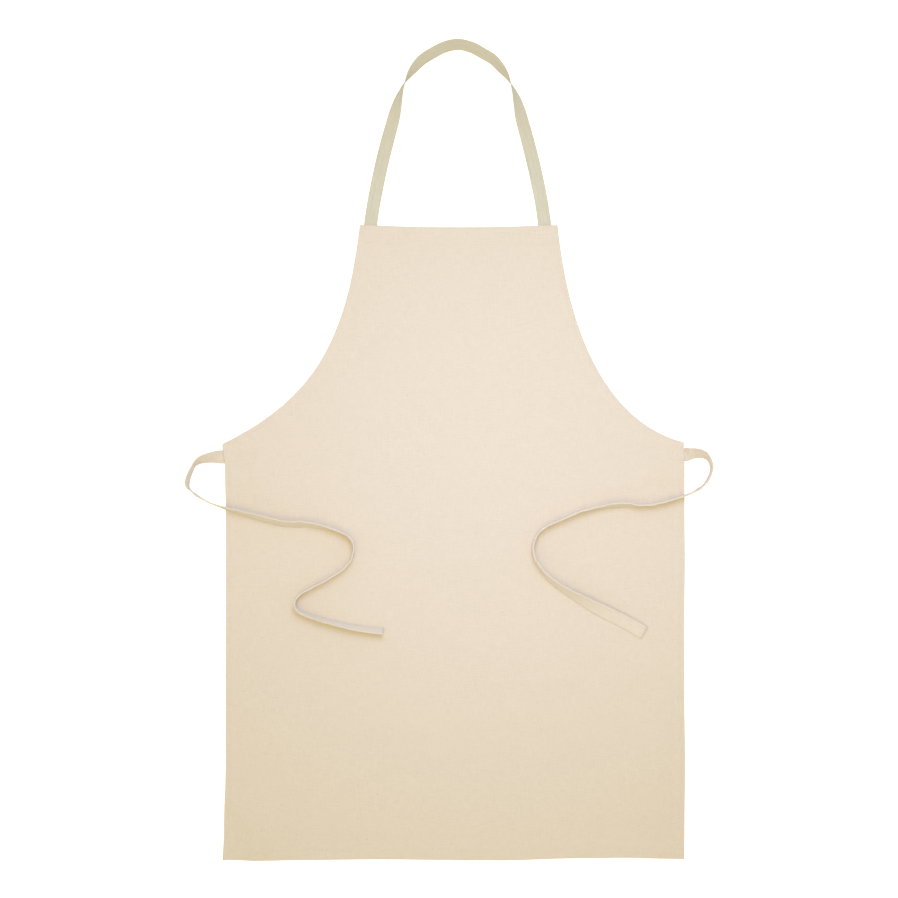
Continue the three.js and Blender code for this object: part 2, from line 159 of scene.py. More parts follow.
NECK_STRAP = [
    (-0.1203, 0.2910, 0, ON_FLOOR),
    (-0.1177, 0.3190, 0, ON_FLOOR),
    (-0.1132, 0.3500, 0, ON_FLOOR),
    (-0.1070, 0.3820, 0, ON_FLOOR),
    (-0.1006, 0.4110, 0, ON_FLOOR),
    (-0.0935, 0.4390, -5, ON_FLOOR),
    (-0.0857, 0.4675, -17, ON_FLOOR),
    (-0.0786, 0.4950, -49, ON_FLOOR),
    (-0.0748, 0.5065, -67, ON_FLOOR),
    (-0.0701, 0.5178, -82, ON_FLOOR),
    (-0.0636, 0.5289, -105, ON_FLOOR),
    (-0.0556, 0.5400, -124, ON_FLOOR),
    (-0.0441, 0.5522, -134, ON_FLOOR),
    (-0.0304, 0.5610, -137, ON_FLOOR),
    (-0.0129, 0.5698, -137, ON_FLOOR),
    (0.0060, 0.5735, -135.5, ON_FLOOR),
    (0.0248, 0.5695, -136, ON_FLOOR),
    (0.0422, 0.5602, -135, ON_FLOOR),
    (0.0557, 0.5518, -132, ON_FLOOR),
    (0.0667, 0.5397, -123, ON_FLOOR),
    (0.0749, 0.5287, -105, ON_FLOOR),
    (0.0809, 0.5177, -84, ON_FLOOR),
    (0.0858, 0.5065, -66, ON_FLOOR),
    (0.0897, 0.4950, -48, ON_FLOOR),
    (0.0967, 0.4675, -17, ON_FLOOR),
    (0.1045, 0.4390, -5, ON_FLOOR),
    (0.1116, 0.4110, 0, ON_FLOOR),
    (0.1181, 0.3820, 0, ON_FLOOR),
    (0.1241, 0.3520, 0, ON_FLOOR),
    (0.1287, 0.3190, 0, ON_FLOOR),
    (0.1310, 0.2910, 0, ON_FLOOR),
]

WAIST_TIE_LEFT = [
    (-0.3070, -0.0095, 0, ON_FLOOR),
    (-0.3270, -0.0093, 0, ON_FLOOR),
    (-0.3410, -0.0098, -36, ON_FLOOR),
    (-0.3568, -0.0134, -57, ON_FLOOR),
    (-0.3641, -0.0180, -75, ON_FLOOR),
    (-0.3693, -0.0255, -80, ON_FLOOR),
    (-0.3760, -0.0435, -76, ON_FLOOR),
    (-0.3754, -0.0520, -88, ON_FLOOR),
    (-0.3691, -0.0587, -90, ON_FLOOR),
    (-0.3584, -0.0667, -92, ON_FLOOR),
    (-0.3453, -0.0735, -94, ON_FLOOR),
    (-0.3290, -0.0795, -98, ON_HEM),
    (-0.3030, -0.0870, -104, ON_HEM),
    (-0.2750, -0.0950, -113, ON_CLOTH),
    (-0.2450, -0.1025, -115, ON_CLOTH),
    (-0.2280, -0.1042, -115, ON_CLOTH),
    (-0.2110, -0.1042, -113, ON_CLOTH),
    (-0.1860, -0.1080, -105, ON_CLOTH),
    (-0.1655, -0.1140, -96, ON_CLOTH),
    (-0.1510, -0.1202, -92, ON_CLOTH),
    (-0.1440, -0.1268, -91, ON_CLOTH),
    (-0.1414, -0.1347, -91, ON_CLOTH),
    (-0.1422, -0.1470, -91, ON_CLOTH),
    (-0.1470, -0.1574, -91, ON_CLOTH),
    (-0.1560, -0.1675, -91, ON_CLOTH),
    (-0.1790, -0.1825, -92, ON_CLOTH),
    (-0.2030, -0.1950, -92, ON_CLOTH),
    (-0.2168, -0.2033, -92, ON_CLOTH),
    (-0.2228, -0.2106, -92, ON_CLOTH),
    (-0.2242, -0.2184, -90, ON_CLOTH),
    (-0.2206, -0.2256, -86, ON_CLOTH),
    (-0.2053, -0.2330, -81, ON_CLOTH),
    (-0.1753, -0.2420, -77, ON_CLOTH),
    (-0.1378, -0.2506, -72, ON_CLOTH),
    (-0.0988, -0.2556, -68, ON_CLOTH),
]

WAIST_TIE_RIGHT = [
    (0.3080, -0.0065, 0, ON_FLOOR),
    (0.3275, -0.0061, 0, ON_FLOOR),
    (0.3345, -0.0050, 28, ON_FLOOR),
    (0.3420, -0.0041, 42, ON_FLOOR),
    (0.3530, -0.0059, 58, ON_FLOOR),
    (0.3607, -0.0132, 77, ON_FLOOR),
    (0.3642, -0.0240, 85, ON_FLOOR),
    (0.3611, -0.0369, 88, ON_FLOOR),
    (0.3536, -0.0485, 88, ON_FLOOR),
    (0.3439, -0.0559, 89, ON_FLOOR),
    (0.3310, -0.0620, 90, ON_HEM),
    (0.3050, -0.0705, 89, ON_HEM),
    (0.2810, -0.0765, 90, ON_CLOTH),
    (0.2620, -0.0783, 96, ON_CLOTH),
    (0.2430, -0.0770, 108, ON_CLOTH),
    (0.2220, -0.0783, 108, ON_CLOTH),
    (0.2060, -0.0808, 100, ON_CLOTH),
    (0.1790, -0.0865, 90, ON_CLOTH),
    (0.1530, -0.0975, 89, ON_CLOTH),
    (0.1320, -0.1066, 89, ON_CLOTH),
    (0.1190, -0.1168, 88, ON_CLOTH),
    (0.1125, -0.1300, 86, ON_CLOTH),
    (0.1118, -0.1450, 85, ON_CLOTH),
    (0.1171, -0.1593, 82, ON_CLOTH),
    (0.1305, -0.1769, 75, ON_CLOTH),
    (0.1520, -0.1945, 63, ON_CLOTH),
    (0.1790, -0.2105, 46, ON_CLOTH),
    (0.2070, -0.2255, 25, ON_CLOTH),
    (0.2380, -0.2405, 11, ON_CLOTH),
    (0.2700, -0.2585, 5, ON_CLOTH),
]

# Sewn ends of the tapes, under the panel: the cloth is lifted over each of them
TAB_MARGIN = 0.016  # the lift stays full this far past the tape
TAB_EASE = 0.024  # and then dies out over this length

# Thread
STITCH_PITCH = 0.0030
STITCH_LENGTH = 0.0023
STITCH_RADIUS = 0.00024
STITCH_SIDES = 6

# One stitch: place along it in lengths, rise and thickness in thread radii
STITCH_SHAPE = [
    (-0.50, -0.70, 0.45),
    (-0.36, 0.10, 0.90),
    (0.00, 0.55, 1.00),
    (0.36, 0.10, 0.90),
    (0.50, -0.70, 0.45),
]

# Boxes of stitches at the sewn ends: how far each side lies from the tape's first point
STRAP_BOX = {"left": 0.0068, "right": 0.0082, "low": 0.004, "high": 0.022}
TIE_BOX = {"near": 0.001, "far": 0.0155, "half": 0.0075}
BOX_STEPS = 8  # points along each side

# Folded ties, sewn along the left of their course
TIE_ROUND = 0.0010  # width of the rounding at each edge
SEAM_INSET = 0.0042  # from the sewn edge to its row of stitches
SEAM_GROOVE = 0.00028  # how deep the stitches pull the cloth in
SEAM_WIDTH = 0.00055  # half the width of that groove
SEAM_ROWS = 0.0004 * np.arange(-3, 4)  # rows of the mesh across it
SEAM_BEAD = 0.00012  # how much the sewn edge is thicker
SEAM_SINK = 0.0002  # the stitches lie this far under the face
TIE_UNEVENNESS = 1.2  # degrees that each wave along the tie may lean the cloth to and fro
WAVE_COUNT = 5
WAVE_LENGTH = 0.009  # before the first step
WAVE_STEP = 0.0045  # each wave is this much longer than the one before
WAVE_SHUFFLE = 7.0  # makes the waves differ in height
WAVES_BEGIN = (0.03, 0.08)  # they rise between these distances from the sewn end

# Woven neck tape
RIBS = 9
RIB_HEIGHT = 0.00006
STRAP_ROUND = 0.0007  # width of the rounding at each edge
EDGE_LEAST = 0.1  # share of the thickness left at the very edge of any tape

# Fineness of the meshes
COLUMNS = 144
ARMHOLE_ROWS = 72
SIDE_ROWS = 128
ROWS = ARMHOLE_ROWS + SIDE_ROWS
ARMHOLE_CROWDING = 1.25  # rows stand closer towards the side corners
SIDE_CROWDING = 1.1
EDGE_HOLD = 4  # how fast the bent top and bottom lines straighten inwards
FOLD_STEPS = 9
EASE_STEPS = 7
ARMHOLE_POINTS = 801
TIE_COLUMNS = 21
RIB_COLUMNS = 8
TAPE_STEPS = 10  # for each row of a tape's course

# Colours
NATURAL_COTTON = (0.86, 0.77, 0.63)
TIE_COTTON = (0.87, 0.78, 0.64)
OLIVE_TAPE = (0.74, 0.71, 0.56)
# sewing thread, a little darker than the cloth: partly its own tone, partly painted shade of the groove its
# stitches pull into the cloth
SHADED_THREAD = (0.84, 0.75, 0.61)
SEED = (0.30, 0.20, 0.10)
FUZZ_COLOUR = (1.0, 0.95, 0.86)

# Fuzz, which lightens a piece where it is seen at a slant
CLOTH_FUZZ = 0.08
TIE_FUZZ = 1.0
STRAP_FUZZ = 0.35
FUZZ_ROUGHNESS = 0.5

# Surface
GLOSS = 0.15
CLOTH_ROUGHNESS = 0.95
TAPE_ROUGHNESS = 0.9
THREAD_ROUGHNESS = 0.85

# Weave
CLOTH_PITCH = 0.00075  # from thread to thread
TAPE_PITCH = 0.0006
CLOTH_BUMP = 0.00025  # how deep the weave is
TAPE_BUMP = 0.00022
THREAD_BUMP = 0.0001
BUMP_STRENGTH = 0.6
SLUB_STRETCH = 0.06  # slubs are long and thin: their scale along the thread
SLUB_BUMP = 0.8
STREAKS = 480.0  # for each metre across a tape
STREAK_STRETCH = 0.04  # their scale along the tape

# How strongly each thing changes the tone, and how fine the mottles are, for each metre
# height: painted shade, lighter on the tops of the threads and darker in the gaps of the weave
CLOTH_TONE = {"slub": 0.14, "warp": 0.07, "weft": 0.07, "mottle": 0.02, "patch": 0.02, "height": 0.10}
TIE_STREAK_TONE = 0.06
# the tape's height tone is painted shade too, darker in the gaps of the weave
TAPE_TONE = {"slub": 0.10, "warp": 0.05, "weft": 0.14, "mottle": 0.05, "height": 0.10, "streak": 0.24}
# painted shade: the tape is lighter on its ribs' crests and darker between them
RIB_SHADE = 0.03
THREAD_TONE = 0.2
CLOTH_MOTTLE = 28.0
CLOTH_PATCH = 260.0
TAPE_MOTTLE = 60.0
THREAD_MOTTLE = 900.0

# Seed flecks
FLECK_CELLS = 140.0  # for each metre
FLECK_BARE = 0.70  # share of the cells without a fleck
FLECK_LEAST = 0.03  # size in cells
FLECK_RANGE = 0.07  # the largest are this much larger
FLECK_DARKNESS = 0.32

# Picture and light
PICTURE_FIELD = 1.2717  # width of floor that the picture takes in
CAMERA_SPOT = (-0.0067, 0.0019)
CAMERA_HEIGHT = 3.0
SENSOR_WIDTH = 36.0  # millimetres, as the camera's own units are
LAMP_PLACE = (0.10, 0.40, 1.30)  # a soft cool lamp over the neck loop
LAMP_AIM = (0.055, -0.045, 0.0)
LAMP_SIZE = 0.80
LAMP_SPREAD = 70  # degrees
LAMP_COLOUR = (0.507, 0.609, 1.0)
LAMP_POWER = 1.88
OVERHEAD_LIGHT = (0.200, 0.145, 0.030)  # what warm lamps overhead add on a white sheet
OVERHEAD_SOFTNESS = 40  # degrees of sky that they take up
OVERHEAD_WAY = (-0.10, -0.20, 1.00)  # where they stand, seen from the apron
ROOM_LIGHT = (0.621, 0.608, 0.550)  # what the room adds on a white sheet
FLOOR_SIZE = 60.0
FLOOR_DROP = 0.0002  # the floor lies just under the cloth
FLOOR_COLOUR = (0.90, 0.86, 0.77)
FLOOR_GLOW = (0.70, 0.70, 0.75)  # what the floor shows on top of that, so that it looks white


# Curves and tables

def ease(x, low, high):
    """Share of the way from low to high, level at both ends."""
    share = np.clip((x - low) / (high - low), 0.0, 1.0)
    return share * share * (3 - 2 * share)


def table_value(rows, column, place):
    """Value of one column of a table at a place, joined between rows by level-ended curves."""
    places = np.array([row[0] for row in rows])
    values = np.array([row[column] for row in rows])
    inside = np.clip(place, places[0], places[-1])
    after = np.clip(np.searchsorted(places, inside), 1, len(rows) - 1)
    share = ease(inside, places[after - 1], places[after])
    return values[after - 1] + (values[after] - values[after - 1]) * share


def smooth_column(values):
    """Values at TAPE_STEPS places between the rows, on curves that never pass a row's own value."""
    rise = np.diff(values)
    before, after = rise[:-1], rise[1:]
    same_way = before * after > 0
    total = np.where(same_way, before + after, 1.0)
    slope = np.concatenate([rise[:1], np.where(same_way, 2 * before * after / total, 0.0), rise[-1:]])
    places = np.arange(len(rise) * TAPE_STEPS + 1) / TAPE_STEPS
    row = np.minimum(places.astype(int), len(rise) - 1)
    part = places - row
    start, end = values[row], values[row + 1]
    leave, arrive = slope[row], slope[row + 1]
    square = 3 * (end - start) - 2 * leave - arrive
    cube = 2 * (start - end) + leave + arrive
    return start + part * (leave + part * (square + part * cube))


def plan_course(points):
    """Places and headings along the round course through some points in plan."""
    ends = [2 * points[0] - points[1], 2 * points[-1] - points[-2]]
    chain = np.vstack([ends[0], points, ends[1]])
    step = np.sqrt(np.linalg.norm(np.diff(chain, axis=0), axis=1))[:, None]
    p0, p1, p2, p3 = chain[:-3], chain[1:-2], chain[2:-1], chain[3:]
    d0, d1, d2 = step[:-2], step[1:-1], step[2:]
    leave = d1 * ((p1 - p0) / d0 - (p2 - p0) / (d0 + d1) + (p2 - p1) / d1)
    arrive = d1 * ((p2 - p1) / d1 - (p3 - p1) / (d1 + d2) + (p3 - p2) / d2)
    square = 3 * (p2 - p1) - 2 * leave - arrive
    cube = 2 * (p1 - p2) + leave + arrive
    places = np.arange(len(p1) * TAPE_STEPS + 1) / TAPE_STEPS
    row = np.minimum(places.astype(int), len(p1) - 1)
    part = (places - row)[:, None]
    where = p1[row] + part * (leave[row] + part * (square[row] + part * cube[row]))
    heading = leave[row] + part * (2 * square[row] + 3 * part * cube[row])
    return where, heading / np.linalg.norm(heading, axis=1)[:, None]


def along(line):
    """Length of a line of points up to each of them."""
    return np.concatenate([[0.0], np.cumsum(np.linalg.norm(np.diff(line, axis=0), axis=1))])


# Outline of the panel

def bib_corner_x(side):
    return BIB_SHIFT + OUTWARD[side] * BIB_WIDTH / 2


def side_corner_y(side):
    return CORNER_Y + ARMHOLE_HANDLES[side]["corner_rise"]


def armhole_line(side):
    """Points of an armhole from the bib corner down to the side corner."""
    handles, out = ARMHOLE_HANDLES[side], OUTWARD[side]
    bib = np.array([bib_corner_x(side), BIB_Y])
    corner = np.array([handles["corner_x"], side_corner_y(side)])
    bib_handle = bib + [out * handles["bib_in"], -handles["bib_down"]]
    corner_handle = corner + [-out * handles["corner_in"], handles["corner_up"]]
    t = np.linspace(0.0, 1.0, ARMHOLE_POINTS)[:, None]
    upper = (1 - t) ** 3 * bib + 3 * (1 - t) ** 2 * t * bib_handle
    lower = 3 * (1 - t) * t**2 * corner_handle + t**3 * corner
    return upper + lower


ARMHOLE_LINES = {side: armhole_line(side) for side in OUTWARD}


def armhole_at(side, y):
    """Place of the armhole at a height, and its run sideways for each metre up.
    Below the side corner it goes straight on."""
    x_up, y_up = ARMHOLE_LINES[side][::-1].T
    slope = np.interp(y, y_up, np.gradient(x_up, y_up))
    return np.interp(y, y_up, x_up) + slope * np.minimum(y - y_up[0], 0.0), slope


def armhole_inset(side, y, inset):
    x, slope = armhole_at(side, y)
    return x - OUTWARD[side] * inset * np.hypot(1.0, slope)


def side_inset(side, y, inset):
    bulge = table_value(SIDE_LINE, SIDE_COLUMN[side], CORNER_Y - y)
    return SKIRT_SHIFT + OUTWARD[side] * (SKIRT_WIDTH / 2 + bulge - inset)


def corner_height(side, inset):
    """The corner of a line set in from the edge lies on the bisector of armhole and side."""
    corner = side_corner_y(side)
    bend = math.atan(abs(armhole_at(side, corner)[1]))
    return corner - inset * math.tan(bend / 2)


def bib_edge(x):
    share = (x - BIB_SHIFT) / (BIB_WIDTH / 2)
    return BIB_Y - BIB_DIP * np.maximum(0.0, 1 - share * share)


def bottom_edge(x):
    return BOTTOM_Y + table_value(BOTTOM_LINE, 1, (x - SKIRT_SHIFT) / SKIRT_WIDTH + 0.5)


def side_line(side, insets):
    """One side of a line set in from the edge, from the bib down to the bottom hem."""
    top = bib_edge(bib_corner_x(side)) - insets["bib"]
    corner = corner_height(side, insets["side"])
    bottom = bottom_edge(side_inset(side, BOTTOM_Y, insets["side"])) + insets["bottom"]
    up = np.linspace(1.0, 0.0, ARMHOLE_ROWS + 1) ** ARMHOLE_CROWDING
    down = np.linspace(0.0, 1.0, SIDE_ROWS + 1)[1:] ** SIDE_CROWDING
    y_arm = corner + (top - corner) * up
    y_side = corner + (bottom - corner) * down
    x = np.concatenate([armhole_inset(side, y_arm, insets["side"]), side_inset(side, y_side, insets["side"])])
    line = np.stack([x, np.concatenate([y_arm, y_side])], axis=1)
    line[0, 1] = bib_edge(line[0, 0]) - insets["bib"]
    return line


def cross_line(start, end, height_at):
    """The top or bottom of a line set in from the edge, between the ends of its two sides."""
    x = np.linspace(start[0], end[0], COLUMNS + 1)
    line = np.stack([x, height_at(x)], axis=1)
    line[0], line[-1] = start, end
    return line


def inset_lines(hems, past):
    """The four sides of a line set in from the edge by some hem depths and a length past them."""
    insets = {edge: hems * depth + past for edge, depth in HEM.items()}
    left, right = side_line("left", insets), side_line("right", insets)
    top = cross_line(left[0], right[0], lambda x: bib_edge(x) - insets["bib"])
    bottom = cross_line(left[-1], right[-1], lambda x: bottom_edge(x) + insets["bottom"])
    return left, right, top, bottom


def ring_of(left, right, top, bottom):
    """Four sides as one ring, counterclockwise from the top left."""
    return np.concatenate([left[:-1], bottom[:-1], right[:0:-1], top[:0:-1]])


def grid_of(left, right, top, bottom):
    """Points inside the four sides, row by row from the top."""
    share = np.linspace(0.0, 1.0, COLUMNS + 1)[None, :, None]
    down = np.linspace(0.0, 1.0, ROWS + 1)[:, None, None]
    top_bend = top - (top[0] + (top[-1] - top[0]) * share[0])
    bottom_bend = bottom - (bottom[0] + (bottom[-1] - bottom[0]) * share[0])
    straight = left[:, None] + (right - left)[:, None] * share
    return straight + top_bend[None] * (1 - down) ** EDGE_HOLD + bottom_bend[None] * down**EDGE_HOLD


# Height of the cloth

TABS = [
    (NECK_STRAP[0], STRAP_THICKNESS),
    (NECK_STRAP[-1], STRAP_THICKNESS),
    (WAIST_TIE_LEFT[0], TIE_THICKNESS),
    (WAIST_TIE_RIGHT[0], TIE_THICKNESS),
]


def tab_lift(tab, thickness, x, y):
    reach = TIE_WIDTH / 2 + TAB_MARGIN
    beyond = np.hypot(np.maximum(0.0, abs(x - tab[0]) - reach), np.maximum(0.0, abs(y - tab[1]) - reach))
    return (thickness + GAP) * (1 - ease(beyond, 0.0, TAB_EASE))


def swell_lift(swell, x, y):
    swell_x, swell_y, reach_x, reach_y, height = swell
    return height * (1 - ease(np.hypot((x - swell_x) / reach_x, (y - swell_y) / reach_y), 0.0, 1.0))


def wrinkle_lift(wrinkle, x, y):
    x0, y0, x1, y1, width, height = wrinkle
    run_x, run_y = x1 - x0, y1 - y0
    share = np.clip(((x - x0) * run_x + (y - y0) * run_y) / (run_x**2 + run_y**2), 0.0, 1.0)
    away = np.hypot(x - x0 - share * run_x, y - y0 - share * run_y)
    return height * np.exp(-((away / width) ** 2))


def ripple_lift(ripple, x, y):
    wavelength, heading, phase, height = ripple
    turn = math.radians(heading)
    waves = (x * math.cos(turn) + y * math.sin(turn)) / wavelength + phase
    return height * (1 + np.sin(2 * math.pi * waves)) / 2


def lift(x, y):
    """Height of the cloth's underside above the floor."""
    tabs = np.max([tab_lift(tab, thickness, x, y) for tab, thickness in TABS], axis=0)
    swells = sum(swell_lift(swell, x, y) for swell in SWELLS)
    wrinkles = np.max([wrinkle_lift(wrinkle, x, y) for wrinkle in WRINKLES], axis=0)
    ripples = sum(ripple_lift(ripple, x, y) for ripple in RIPPLES)
    return tabs + swells + wrinkles + ripples


def hem_plies(past):
    """Layers of cloth at a distance past the hem's depth: two in the hem, easing to one."""
    return 2 - ease(past, -HEM_SHOULDER, HEM_EASE)


def on_cloth(points, plies):
    x, y = points[..., 0], points[..., 1]
    return np.stack([x, y, lift(x, y) + plies * PLY], axis=-1)


# Meshes

def add_piece(name, vertices, faces, material, slot):
    """A mesh object of the apron, smooth, riding on its one body."""
    mesh = bpy.data.meshes.new(name)
    mesh.from_pydata(np.asarray(vertices).tolist(), [], [tuple(face) for face in faces])
    mesh.polygons.foreach_set("use_smooth", [True] * len(mesh.polygons))
    mesh.materials.append(material)
    mesh.update()
    piece = bpy.data.objects.new(name, mesh)
    bpy.context.scene.collection.objects.link(piece)
    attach(piece, "root")
    return piece


def band(inner, outer):
    """Faces between two rings of vertex numbers."""
    return np.stack([inner, np.roll(inner, -1), np.roll(outer, -1), outer], axis=1)


def strip(first, second):
    """Faces between two open lines of vertex numbers."""
    return np.stack([first[:-1], first[1:], second[1:], second[:-1]], axis=1)


def border_rows():
    """Section of the panel's border, from the underside out round the fold and back over the top.
    Each row has hem depths in from the edge, a length past them, and a height in layers."""
    share, height = UNDER_RISE
    rows = [(1, HEM_EASE, 0.0), (1, share * HEM_EASE, height), (1, 0.0, UNDER_TOP), (1, 0.0, 0.0)]
    for angle in np.linspace(-math.pi / 2, math.pi / 2, FOLD_STEPS):
        rows.append((0, PLY * (1 - math.cos(angle)), 1 + math.sin(angle)))
    rows += [(hems, 0.0, 2.0) for hems in HEM_ROWS]
    for offset in GROOVE_ROWS:
        groove = STITCH_GROOVE * math.exp(-((offset / GROOVE_WIDTH) ** 2))
        rows.append((1, offset - STITCH_INSET, 2.0 - groove))
    for past in np.linspace(0.0, HEM_EASE, EASE_STEPS):
        rows.append((1, past, float(hem_plies(past))))
    return rows


def panel_mesh():
    rows = border_rows()
    rings = [on_cloth(ring_of(*inset_lines(hems, past)), plies) for hems, past, plies in rows[1:-1]]
    grid = grid_of(*inset_lines(*rows[0][:2]))
    under, over = on_cloth(grid, rows[0][2]), on_cloth(grid, rows[-1][2])
    vertices = np.concatenate([under.reshape(-1, 3), over.reshape(-1, 3), *rings])
    under_numbers = np.arange(grid.shape[0] * grid.shape[1]).reshape(grid.shape[:2])
    over_numbers = under_numbers + under_numbers.size
    first = 2 * under_numbers.size
    count = len(rings[0])
    numbers = [ring_of(n[:, 0], n[:, -1], n[0], n[-1]) for n in (under_numbers, over_numbers)]
    ring_numbers = [first + i * count + np.arange(count) for i in range(len(rings))]
    chain = [numbers[0], *ring_numbers, numbers[1]]
    faces = [band(inner, outer) for inner, outer in zip(chain, chain[1:])]
    for n, up in ((over_numbers, True), (under_numbers, False)):
        corners = [n[:-1, :-1], n[1:, :-1], n[1:, 1:], n[:-1, 1:]]
        faces.append(np.stack(corners if up else corners[::-1], axis=-1).reshape(-1, 4))
    return vertices, np.concatenate(faces)


def uneven(reach):
    """Some waves of unevenness along a tape, none at its sewn start."""
    total = np.zeros(len(reach))
    for i in range(1, WAVE_COUNT + 1):
        turns = reach / (WAVE_LENGTH + WAVE_STEP * i)
        total += math.sin(WAVE_SHUFFLE * i) * np.sin(2 * math.pi * turns)
    return total * ease(reach, *WAVES_BEGIN)


class Tape:
    """A tape's middle line with the directions of its width and of its face, ring by ring."""

    def __init__(self, route, width, thickness, unevenness=0.0):
        rows = np.array(route)
        where, heading = plan_course(rows[:, :2])
        wobble = unevenness * uneven(along(where))
        tilt = np.radians(smooth_column(rows[:, 2]) + wobble)
        bed = smooth_column(rows[:, 3])
        sin, cos = np.sin(tilt)[:, None], np.cos(tilt)[:, None]
        level = np.zeros((len(where), 1))
        across = np.hstack([-heading[:, 1:], heading[:, :1], level])
        up = np.array([[0.0, 0.0, 1.0]])
        rise = abs(sin[:, 0]) * width / 2 + abs(cos[:, 0]) * thickness / 2
        self.centres = np.column_stack([where, bed + rise])
        self.edge = cos * across + sin * up
        self.face = cos * up - sin * across

    def line(self, across, thick):
        """Points along the tape at a place across it and a height over its middle."""
        return self.centres + across * self.edge + thick * self.face

    def mesh(self, section):
        """Closed mesh of a section: places across the width, and half the thickness at each."""
        over = np.stack([self.line(across, half) for across, half in section], axis=1)
        under = np.stack([self.line(across, -half) for across, half in section], axis=1)
        loop = np.concatenate([over, under[:, ::-1]], axis=1)
        rings, points = loop.shape[:2]
        numbers = np.arange(rings * points).reshape(rings, points)
        faces = [band(numbers[i], numbers[i + 1])[:, ::-1] for i in range(rings - 1)]
        half = points // 2
        for ring, turned in ((numbers[0], False), (numbers[-1], True)):
            cap = strip(ring[:half], ring[:half - 1:-1])
            faces.append(cap[:, ::-1] if turned else cap)
        across = np.array([row[0] for row in section])
        v = np.concatenate([across, across[::-1]])
        places = np.stack(np.broadcast_arrays(along(self.centres)[:, None], v[None]), axis=-1)
        return loop.reshape(-1, 3), np.concatenate(faces), places.reshape(-1, 2)


def add_tape(name, tape, section, material, slot):
    vertices, faces, places = tape.mesh(section)
    piece = add_piece(name, vertices, faces, material, slot)
    layer = piece.data.uv_layers.new(name="tape")
    corners = np.zeros(len(piece.data.loops), int)
    piece.data.loops.foreach_get("vertex_index", corners)
    layer.data.foreach_set("uv", places[corners].ravel())
    return piece


def edge_rounding(across, width, round_width):
    """Share of the full thickness left near a tape's rounded edges."""
    over = np.clip((abs(across) - (width / 2 - round_width)) / round_width, 0.0, 1.0)
    return np.sqrt(np.maximum(1 - over**2, EDGE_LEAST**2))


def tie_section():
    """Section of a tie, folded on the right of its course and sewn along the left."""
    seam = TIE_WIDTH / 2 - SEAM_INSET
    columns = -np.cos(np.linspace(0, math.pi, TIE_COLUMNS)) * TIE_WIDTH / 2
    across = np.union1d(columns, seam + SEAM_ROWS)
    groove = SEAM_GROOVE * np.exp(-(((across - seam) / SEAM_WIDTH) ** 2))
    bead = SEAM_BEAD * ease(across, seam, TIE_WIDTH / 2)
    half = (TIE_THICKNESS / 2 + bead - groove) * edge_rounding(across, TIE_WIDTH, TIE_ROUND)
    return list(zip(across, half))


def strap_section():
    """Section of the woven neck tape, with lengthwise ribs."""
    across = np.linspace(-STRAP_WIDTH / 2, STRAP_WIDTH / 2, RIB_COLUMNS * RIBS + 1)
    rib = RIB_HEIGHT * np.cos(2 * math.pi * RIBS * across / STRAP_WIDTH)
    half = (STRAP_THICKNESS / 2 - RIB_HEIGHT + rib) * edge_rounding(across, STRAP_WIDTH, STRAP_ROUND)
    return list(zip(across, half))


# Stitches

def stitch_places(line, normals):
    """Middles, directions and normals of the stitches along a line."""
    reach = along(line)
    count = max(1, int(reach[-1] / STITCH_PITCH))
    middles = (np.arange(count) + 0.5) * reach[-1] / count

    def at(values, places):
        return np.stack([np.interp(places, reach, values[:, i]) for i in range(3)], axis=1)

    ahead = at(line, middles + STITCH_LENGTH / 2) - at(line, middles - STITCH_LENGTH / 2)
    ahead /= np.linalg.norm(ahead, axis=1)[:, None]
    return at(line, middles), ahead, at(normals, middles)


def stitch_mesh(rows):
    """One mesh of many stitches: low threads that dive into the cloth at both ends."""
    middles, ahead, normals = (np.concatenate(column) for column in zip(*rows))
    aside = np.cross(normals, ahead)
    turns = np.linspace(0, 2 * math.pi, STITCH_SIDES, endpoint=False)
    rings = []
    for place, rise, thick in STITCH_SHAPE:
        centre = middles + ahead * place * STITCH_LENGTH + normals * rise * STITCH_RADIUS
        for turn in turns:
            out = aside * math.cos(turn) + normals * math.sin(turn)
            rings.append(centre + out * thick * STITCH_RADIUS)
    vertices = np.stack(rings, axis=1)
    sides, steps = STITCH_SIDES, len(STITCH_SHAPE)
    first = np.arange(sides * steps).reshape(steps, sides)
    walls = np.concatenate([band(first[i], first[i + 1])[:, ::-1] for i in range(steps - 1)])
    starts = np.arange(len(middles)) * sides * steps
    faces = [tuple(face + start) for start in starts for face in walls]
    caps = (first[0], first[-1, ::-1])
    faces += [tuple(cap + start) for start in starts for cap in caps]
    return vertices.reshape(-1, 3), faces


def flat_stitches(points, plies):
    """Stitches along a line on the panel's upper side."""
    line = on_cloth(points, plies)
    return stitch_places(line, np.tile([0.0, 0.0, 1.0], (len(line), 1)))


def box_line(low, high):
    """A box of stitches, from its low corner round to it again."""
    corners = np.array([low, (high[0], low[1]), high, (low[0], high[1]), low])
    share = np.linspace(0, 1, BOX_STEPS, endpoint=False)[:, None]
    sides = [a + (b - a) * share for a, b in zip(corners, corners[1:])]
    return np.concatenate([*sides, corners[-1:]])


def panel_stitches():
    rows = []
    for line in inset_lines(1, -STITCH_INSET):
        rows.append(flat_stitches(line, 2.0 - STITCH_GROOVE))
    for tab in (NECK_STRAP[0], NECK_STRAP[-1]):
        low = (tab[0] - STRAP_BOX["left"], tab[1] + STRAP_BOX["low"])
        high = (tab[0] + STRAP_BOX["right"], tab[1] + STRAP_BOX["high"])
        rows.append(flat_stitches(box_line(low, high), 2.0))
    for tab, side in ((WAIST_TIE_LEFT[0], "left"), (WAIST_TIE_RIGHT[0], "right")):
        out = OUTWARD[side]
        left, right = sorted(tab[0] + out * TIE_BOX[end] for end in ("near", "far"))
        line = box_line((left, tab[1] - TIE_BOX["half"]), (right, tab[1] + TIE_BOX["half"]))
        inset = out * (side_inset(side, line[:, 1], 0.0) - line[:, 0])
        rows.append(flat_stitches(line, hem_plies(inset - HEM["side"])))
    return stitch_mesh(rows)


